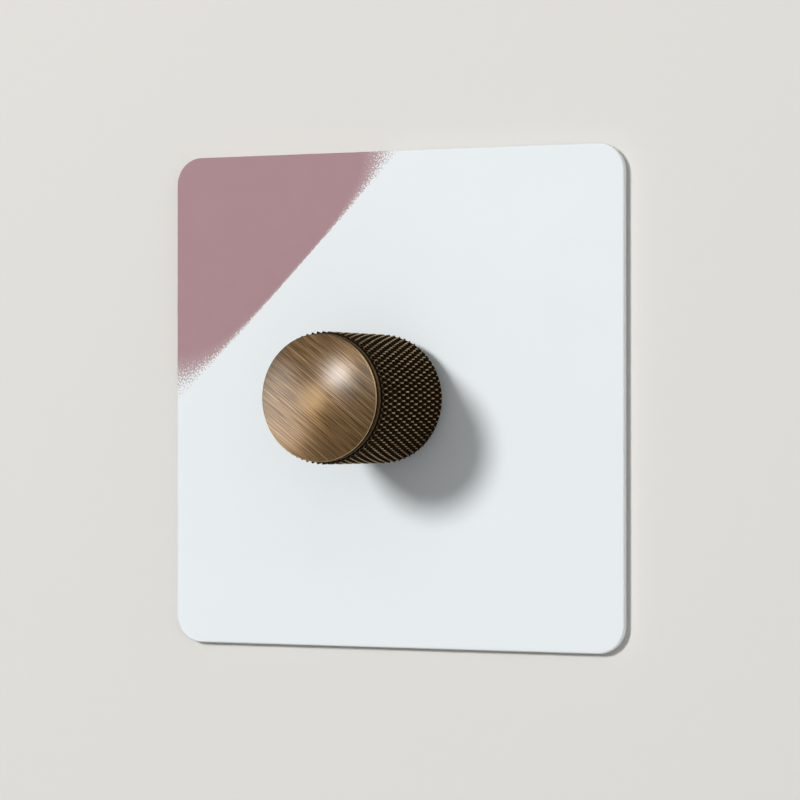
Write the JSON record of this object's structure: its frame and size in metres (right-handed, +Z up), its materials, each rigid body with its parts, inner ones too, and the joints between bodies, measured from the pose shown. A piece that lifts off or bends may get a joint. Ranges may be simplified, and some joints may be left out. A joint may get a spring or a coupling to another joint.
{
  "type": "wall dimmer switch",
  "caption": "Thin square wall plate with a hidden fixing and a knurled brass knob that turns to dim and pushes to switch, on a rear electronics module.",
  "frame": {"origin": "centre of the plate on the wall plane, on the knob's axis", "axes": "+Y into the wall, the front faces -Y, +Z up, +X to the right as seen from the front"},
  "size_m": [0.09, 0.0644, 0.09],
  "materials": {
    "plate_paint": "matt primer white with one corner painted dusty pink",
    "zinc_steel": "zinc plated, dull",
    "screw_steel": "zinc plated, bright",
    "antique_brass": "antiqued, brushed face, knurled side",
    "plain_brass": "plain turned",
    "sink_aluminium": "mill finish",
    "pot_steel": "pressed can",
    "housing_plastic": "moulded, fine grain",
    "clip_plastic": "moulded",
    "core_plastic": "moulded",
    "board_laminate": "glass laminate",
    "wafer_laminate": "paper laminate with carbon track",
    "device_plastic": "moulded",
    "ferrite": "coated",
    "copper": "enamelled wire",
    "film_plastic": "dipped",
    "sleeve_plastic": "shrunk sleeve",
    "fuse_body": "tube with metal caps",
    "contact_brass": "plain strip",
    "spring_steel": "bright wire"
  },
  "bodies": {
    "body": {"face_plate": "plate_paint", "clip_frame": "clip_plastic", "mounting_yoke": "zinc_steel", "fixing_screws": "screw_steel", "earth_terminal": "plain_brass", "earth_screw": "screw_steel", "bush": "plain_brass", "lock_washer": "zinc_steel", "bush_nut": "plain_brass", "heat_sink": "sink_aluminium", "housing": "housing_plastic", "housing_screws": "screw_steel", "pot_case": "pot_steel", "track_wafer": "wafer_laminate", "circuit_board": "board_laminate", "push_switch_case": "core_plastic", "switch_contacts": "contact_brass", "return_spring": "spring_steel", "power_transistors": "device_plastic", "choke_core": "ferrite", "choke_winding": "copper", "film_capacitor": "film_plastic", "smoothing_capacitor": "sleeve_plastic", "fuse": "fuse_body", "terminal_cages": "plain_brass", "terminal_screws": "screw_steel"},
    "rotor": {"wiper_rotor": "core_plastic", "wiper_contact": "contact_brass"},
    "knob": {"knob": "antique_brass", "knob_core": "core_plastic", "spindle": "plain_brass", "retaining_ring": "spring_steel"},
    "plunger": {"switch_plunger": "core_plastic", "moving_contact": "contact_brass"}
  },
  "joints": [
    {"name": "knob_turn", "type": "hinge", "parent": "body", "child": "rotor", "pos_m": [0, 0, 0], "axis": [0, 1, 0], "range_deg": [-135, 135]},
    {"name": "knob_push", "type": "slide", "parent": "rotor", "child": "knob", "axis": [0, 1, 0], "range_m": [0, 0.0012], "stiffness_N_per_m": 1500, "springref_m": -0.002, "deforming": ["return_spring"]},
    {"name": "switch_push", "type": "slide", "parent": "body", "child": "plunger", "axis": [0, 1, 0], "range_m": [0, 0.0012]}
  ],
  "couplings": [
    {"joint": "switch_push", "follows": "knob_push", "ratio": 1}
  ]
}
